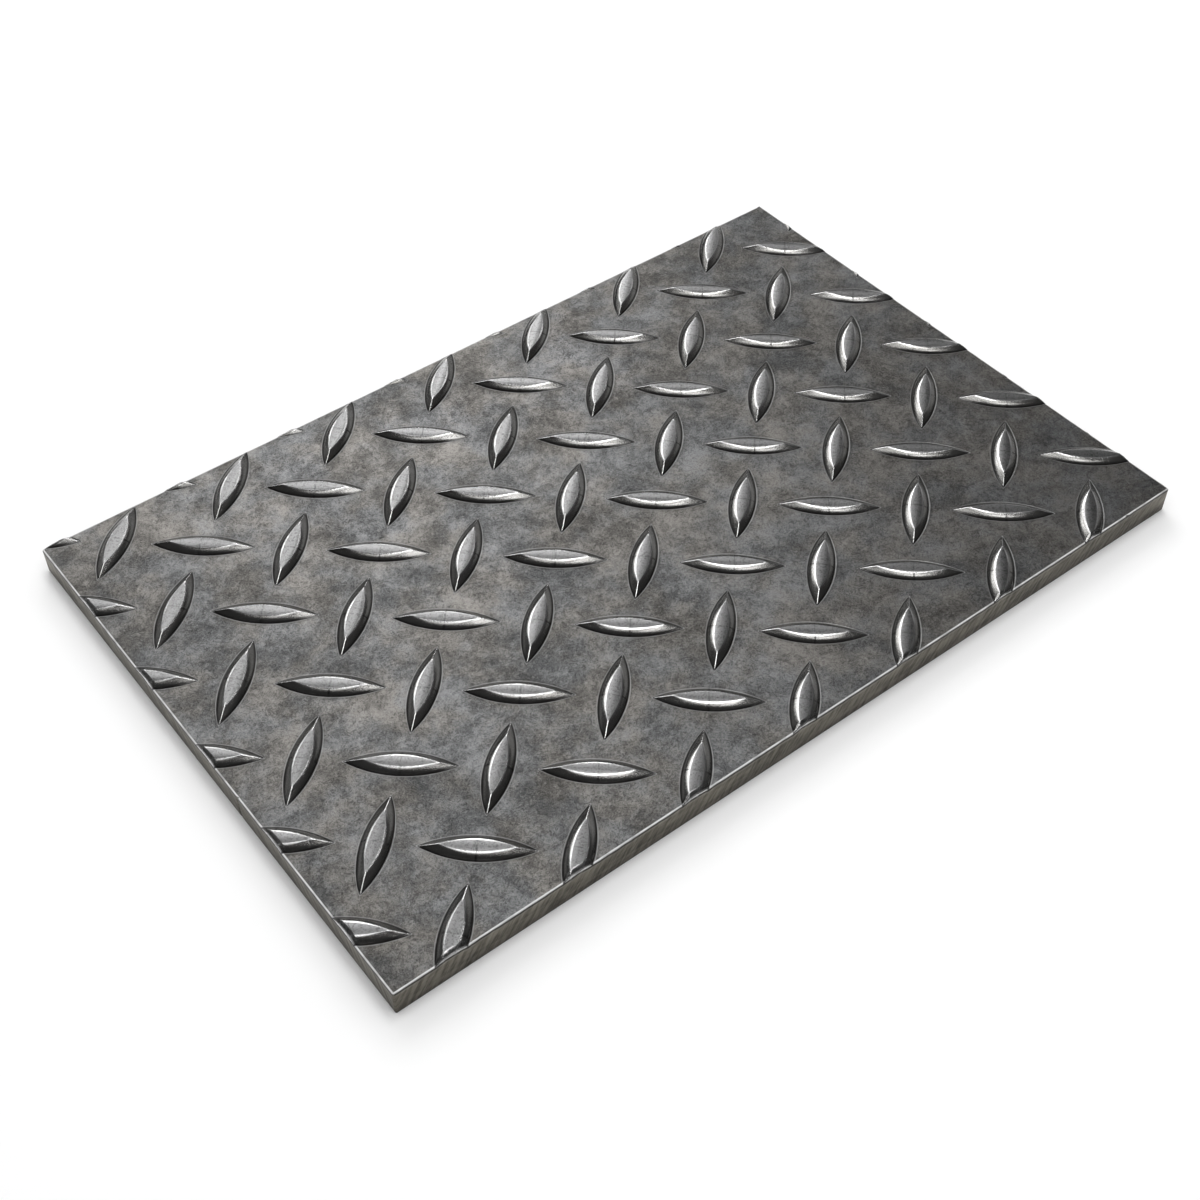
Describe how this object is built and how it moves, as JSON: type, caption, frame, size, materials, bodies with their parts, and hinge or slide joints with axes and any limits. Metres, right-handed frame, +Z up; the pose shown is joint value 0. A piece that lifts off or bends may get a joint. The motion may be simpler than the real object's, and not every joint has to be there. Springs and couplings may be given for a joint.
{
  "type": "checker steel plate",
  "caption": "Flat rectangular steel floor plate with a plain underside and raised lens-shaped anti-slip lugs laid in two crossing directions on top.",
  "frame": {"origin": "middle of the flat underside", "axes": "+X along the long cut edges, +Y across the plate, +Z up out of the lugged face"},
  "size_m": [0.3, 0.2, 0.0111],
  "materials": {
    "mill_steel": "hot-rolled mill finish, dark scale between the lugs, lug crests and cut edges worn bright"
  },
  "bodies": {
    "root": {"checker_plate": "mill_steel"}
  },
  "joints": []
}
